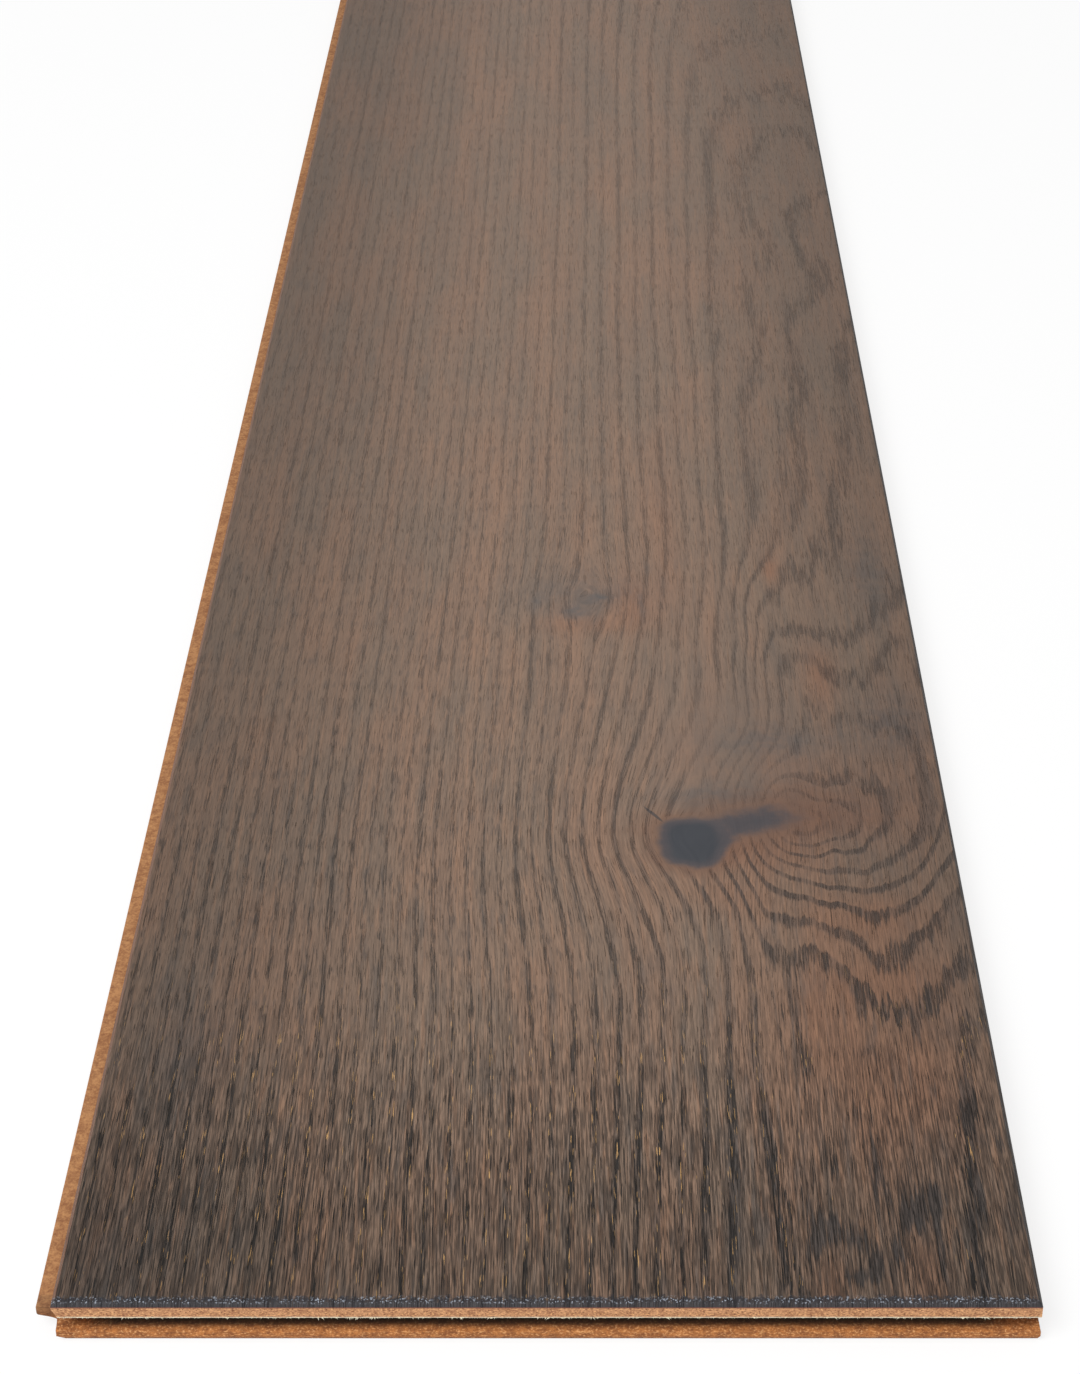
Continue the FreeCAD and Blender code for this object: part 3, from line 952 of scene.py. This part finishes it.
# %% Node group: a fringe along a line
fringe = bpy.data.node_groups.new("torn_fringe", "GeometryNodeTree")
fringe.interface.new_socket("Geometry", in_out="INPUT", socket_type="NodeSocketGeometry")
fringe.interface.new_socket("Geometry", in_out="OUTPUT", socket_type="NodeSocketGeometry")
FRINGE = {"Spacing": 0.35 * MM, "Length": 0.9 * MM, "Thickness": 0.14 * MM}
for label, default in FRINGE.items():
    fringe.interface.new_socket(label, in_out="INPUT", socket_type=FLOAT).default_value = default
given = fringe.nodes.new("NodeGroupInput").outputs
pale_fibre, tree, shader = new_material("torn_fibre")
shader.inputs["Base Color"].default_value = srgb(234, 228, 202)
shader.inputs["Roughness"].default_value = 0.9
line_points = add(
    fringe,
    "GeometryNodeCurveToPoints",
    props={"mode": "LENGTH"},
    Curve=add(fringe, "GeometryNodeMeshToCurve", Mesh=given["Geometry"]),
    Length=given["Spacing"],
)
spike = add(
    fringe, "GeometryNodeMeshCone", Vertices=4, Radius_Bottom=given["Thickness"], Depth=given["Length"]
)
turned = add(
    fringe,
    "FunctionNodeRandomValue",
    props={"data_type": "FLOAT_VECTOR"},
    i0=(math.pi - 0.2, -1.0, 0.0),
    i1=(math.pi + 0.7, 1.0, 0.0),
    Seed=5,
)
at_point = add(fringe, "GeometryNodeInputPosition")
tufted = add(fringe, "ShaderNodeTexNoise", Vector=at_point, Scale=450.0, Detail=2.0)
uneven = add(fringe, "FunctionNodeRandomValue", out=1, i2=0.4, i3=1.6, Seed=9)
sized = sums(fringe, "MULTIPLY", tufted, uneven)
spikes = add(
    fringe, "GeometryNodeInstanceOnPoints", Points=line_points, Instance=spike, Rotation=turned, Scale=sized
)
whole = add(fringe, "GeometryNodeRealizeInstances", Geometry=spikes)
whole = add(fringe, "GeometryNodeSetMaterial", Geometry=whole, Material=pale_fibre)
fringe.links.new(whole, fringe.nodes.new("NodeGroupOutput").inputs["Geometry"])
print("group", fringe.name, "with", len(fringe.nodes), "nodes")

# %% [markdown]
# The fringe in its place
#
# The group needs only the line that the fringe follows, just above the mouth of the groove. Its
# inputs are set by their identifiers before the object is first evaluated, and the result is
# turned into a plain mesh that rides on the board.

# %% The fringe on the end groove's lip
FROM_CORNER = 1.5
lip_y, lip_z = FRONT + 0.06 * MM, (GROOVE_CEILING + 0.3) * MM
lip_end = (HALF_W - FROM_CORNER) * MM
lip_mesh = bpy.data.meshes.new("lip_line")
lip_mesh.from_pydata([(-lip_end, lip_y, lip_z), (lip_end, lip_y, lip_z)], [(0, 1)], [])
torn_fibres = bpy.data.objects.new("torn_fibres", lip_mesh)
bpy.context.collection.objects.link(torn_fibres)
grow = torn_fibres.modifiers.new("fringe", "NODES")
grow.node_group = fringe
for item in fringe.interface.items_tree:
    if item.name in FRINGE:
        grow[item.identifier] = FRINGE[item.name]
seen = torn_fibres.evaluated_get(bpy.context.evaluated_depsgraph_get())
torn_mesh = bpy.data.meshes.new_from_object(seen)
torn_fibres.modifiers.clear()
torn_fibres.data = torn_mesh
torn_mesh.name = "torn_fibres"
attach(torn_fibres, "root")
print("torn fibres:", len(torn_mesh.polygons), "faces")

# %% [markdown]
# Floor and light
#
# The floor is white and still takes the soft shadow under the board. The sky is dim near the
# horizon, which keeps a grey veil off the far part of the satin face, and is plain white only
# where the camera looks straight at it. A big soft lamp stands behind the camera to the left,
# so that the brushed threads throw small shadows.

# %% Floor
FLOOR_SPAN = 30.0
FLOOR_GAP = 0.2 * MM
FLOOR_GLOW = 0.8

floor_mesh = bpy.data.meshes.new("floor")
corners = [(x * FLOOR_SPAN, y * FLOOR_SPAN, 0.0) for x, y in ((-1, -1), (1, -1), (1, 1), (-1, 1))]
floor_mesh.from_pydata(corners, [], [(0, 1, 2, 3)])
floor = bpy.data.objects.new("floor", floor_mesh)
floor.location.z = -FLOOR_GAP
bpy.context.collection.objects.link(floor)
white, tree, shader = new_material("white_floor")
shader.inputs["Base Color"].default_value = (0.9, 0.9, 0.9, 1.0)
shader.inputs["Roughness"].default_value = 0.9
glow = add(tree, "ShaderNodeEmission", Color=(1.0, 1.0, 1.0, 1.0), Strength=1.0)
path = tree.nodes.new("ShaderNodeLightPath").outputs
direct = sums(tree, "MAXIMUM", path["Is Glossy Ray"], path["Is Transmission Ray"])
direct = product(tree, sums(tree, "MAXIMUM", direct, path["Is Camera Ray"]), FLOOR_GLOW)
both = add(tree, "ShaderNodeMixShader", i0=direct, i1=shader.outputs[0], i2=glow)
tree.links.new(both, tree.nodes["Material Output"].inputs["Surface"])
floor_mesh.materials.append(white)
print("floor", 2 * FLOOR_SPAN, "m wide")

# %% Sky
world = bpy.data.worlds.new("studio")
bpy.context.scene.world = world
world.use_nodes = True
tree = world.node_tree
direction = add(tree, "ShaderNodeTexCoord", out="Generated")
upward = add(tree, "ShaderNodeSeparateXYZ", out="Z", Vector=direction)
path = tree.nodes.new("ShaderNodeLightPath").outputs
direct = sums(tree, "MAXIMUM", path["Is Camera Ray"], path["Is Transmission Ray"])
sky = sums(tree, "MAXIMUM", ease(tree, upward, 0.1, 0.9, 0.2, 0.6), direct)
tree.links.new(sky, tree.nodes["Background"].inputs["Strength"])
tree.nodes["Background"].inputs["Color"].default_value = (1.0, 1.0, 1.0, 1.0)
print("world", world.name)


# %% Lamps
def lamp(name, at, target, size, watts):
    data = bpy.data.lights.new(name, "AREA")
    data.shape = "RECTANGLE"
    data.size, data.size_y = size
    data.energy = watts
    item = bpy.data.objects.new(name, data)
    item.location = at
    item.rotation_euler = (Vector(target) - Vector(at)).to_track_quat("-Z", "Y").to_euler()
    bpy.context.collection.objects.link(item)


lamp("far_softbox", (0.0, 2.0, 1.2), (0.0, 0.0, 0.0), (1.2, 0.8), 3.0)
lamp("key_softbox", (-1.1, -1.5, 1.9), (0.0, -0.4, 0.0), (1.5, 1.5), 56.0)
bpy.context.scene.view_settings.view_transform = "Standard"
print("lamps", [item.name for item in bpy.data.lights])
